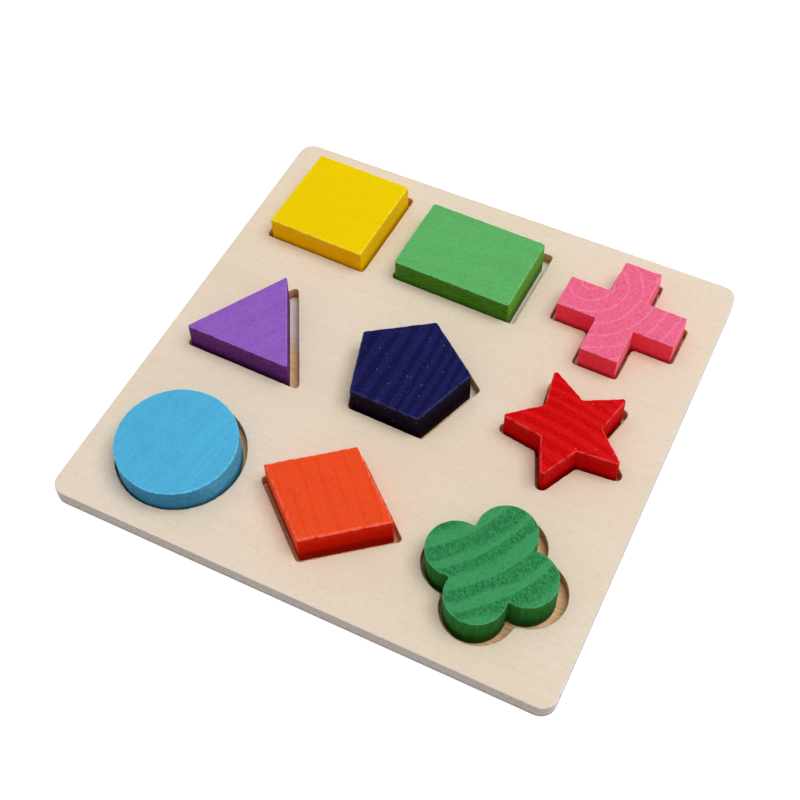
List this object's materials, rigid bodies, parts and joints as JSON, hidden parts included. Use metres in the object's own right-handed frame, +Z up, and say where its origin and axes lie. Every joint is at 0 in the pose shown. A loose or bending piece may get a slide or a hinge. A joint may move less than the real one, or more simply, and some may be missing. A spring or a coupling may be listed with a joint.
{
  "type": "wooden shape puzzle",
  "caption": "Square wooden puzzle board with shaped cut-outs, each holding its own loose painted block.",
  "frame": {"origin": "centre of the board's underside", "axes": "+Z up out of the board's top face; +X along the front edge, towards the clover's corner; +Y towards the back"},
  "size_m": [0.2, 0.2, 0.0165],
  "materials": {
    "bare_plywood": "bare, fine sanded",
    "backing_veneer": "bare, rough grained",
    "yellow_paint": "satin paint",
    "green_paint": "satin paint",
    "pink_paint": "satin paint",
    "purple_paint": "satin paint",
    "navy_paint": "satin paint",
    "red_paint": "satin paint",
    "blue_paint": "satin paint",
    "orange_paint": "satin paint",
    "deep_green_paint": "satin paint"
  },
  "bodies": {
    "board": {"frame_panel": "bare_plywood", "backing_panel": "backing_veneer"},
    "yellow_square": {"yellow_square": "yellow_paint"},
    "green_rectangle": {"green_rectangle": "green_paint"},
    "pink_cross": {"pink_cross": "pink_paint"},
    "purple_triangle": {"purple_triangle": "purple_paint"},
    "navy_pentagon": {"navy_pentagon": "navy_paint"},
    "red_star": {"red_star": "red_paint"},
    "blue_circle": {"blue_circle": "blue_paint"},
    "orange_rhombus": {"orange_rhombus": "orange_paint"},
    "green_clover": {"green_clover": "deep_green_paint"}
  },
  "joints": [
    {"name": "yellow_square_lift", "type": "slide", "parent": "board", "child": "yellow_square", "axis": [0, 0, 1], "range_m": [0, 0.03]},
    {"name": "green_rectangle_lift", "type": "slide", "parent": "board", "child": "green_rectangle", "axis": [0, 0, 1], "range_m": [0, 0.03]},
    {"name": "pink_cross_lift", "type": "slide", "parent": "board", "child": "pink_cross", "axis": [0, 0, 1], "range_m": [0, 0.03]},
    {"name": "purple_triangle_lift", "type": "slide", "parent": "board", "child": "purple_triangle", "axis": [0, 0, 1], "range_m": [0, 0.03]},
    {"name": "navy_pentagon_lift", "type": "slide", "parent": "board", "child": "navy_pentagon", "axis": [0, 0, 1], "range_m": [0, 0.03]},
    {"name": "red_star_lift", "type": "slide", "parent": "board", "child": "red_star", "axis": [0, 0, 1], "range_m": [0, 0.03]},
    {"name": "blue_circle_lift", "type": "slide", "parent": "board", "child": "blue_circle", "axis": [0, 0, 1], "range_m": [0, 0.03]},
    {"name": "orange_rhombus_lift", "type": "slide", "parent": "board", "child": "orange_rhombus", "axis": [0, 0, 1], "range_m": [0, 0.03]},
    {"name": "green_clover_lift", "type": "slide", "parent": "board", "child": "green_clover", "axis": [0, 0, 1], "range_m": [0, 0.03]}
  ]
}
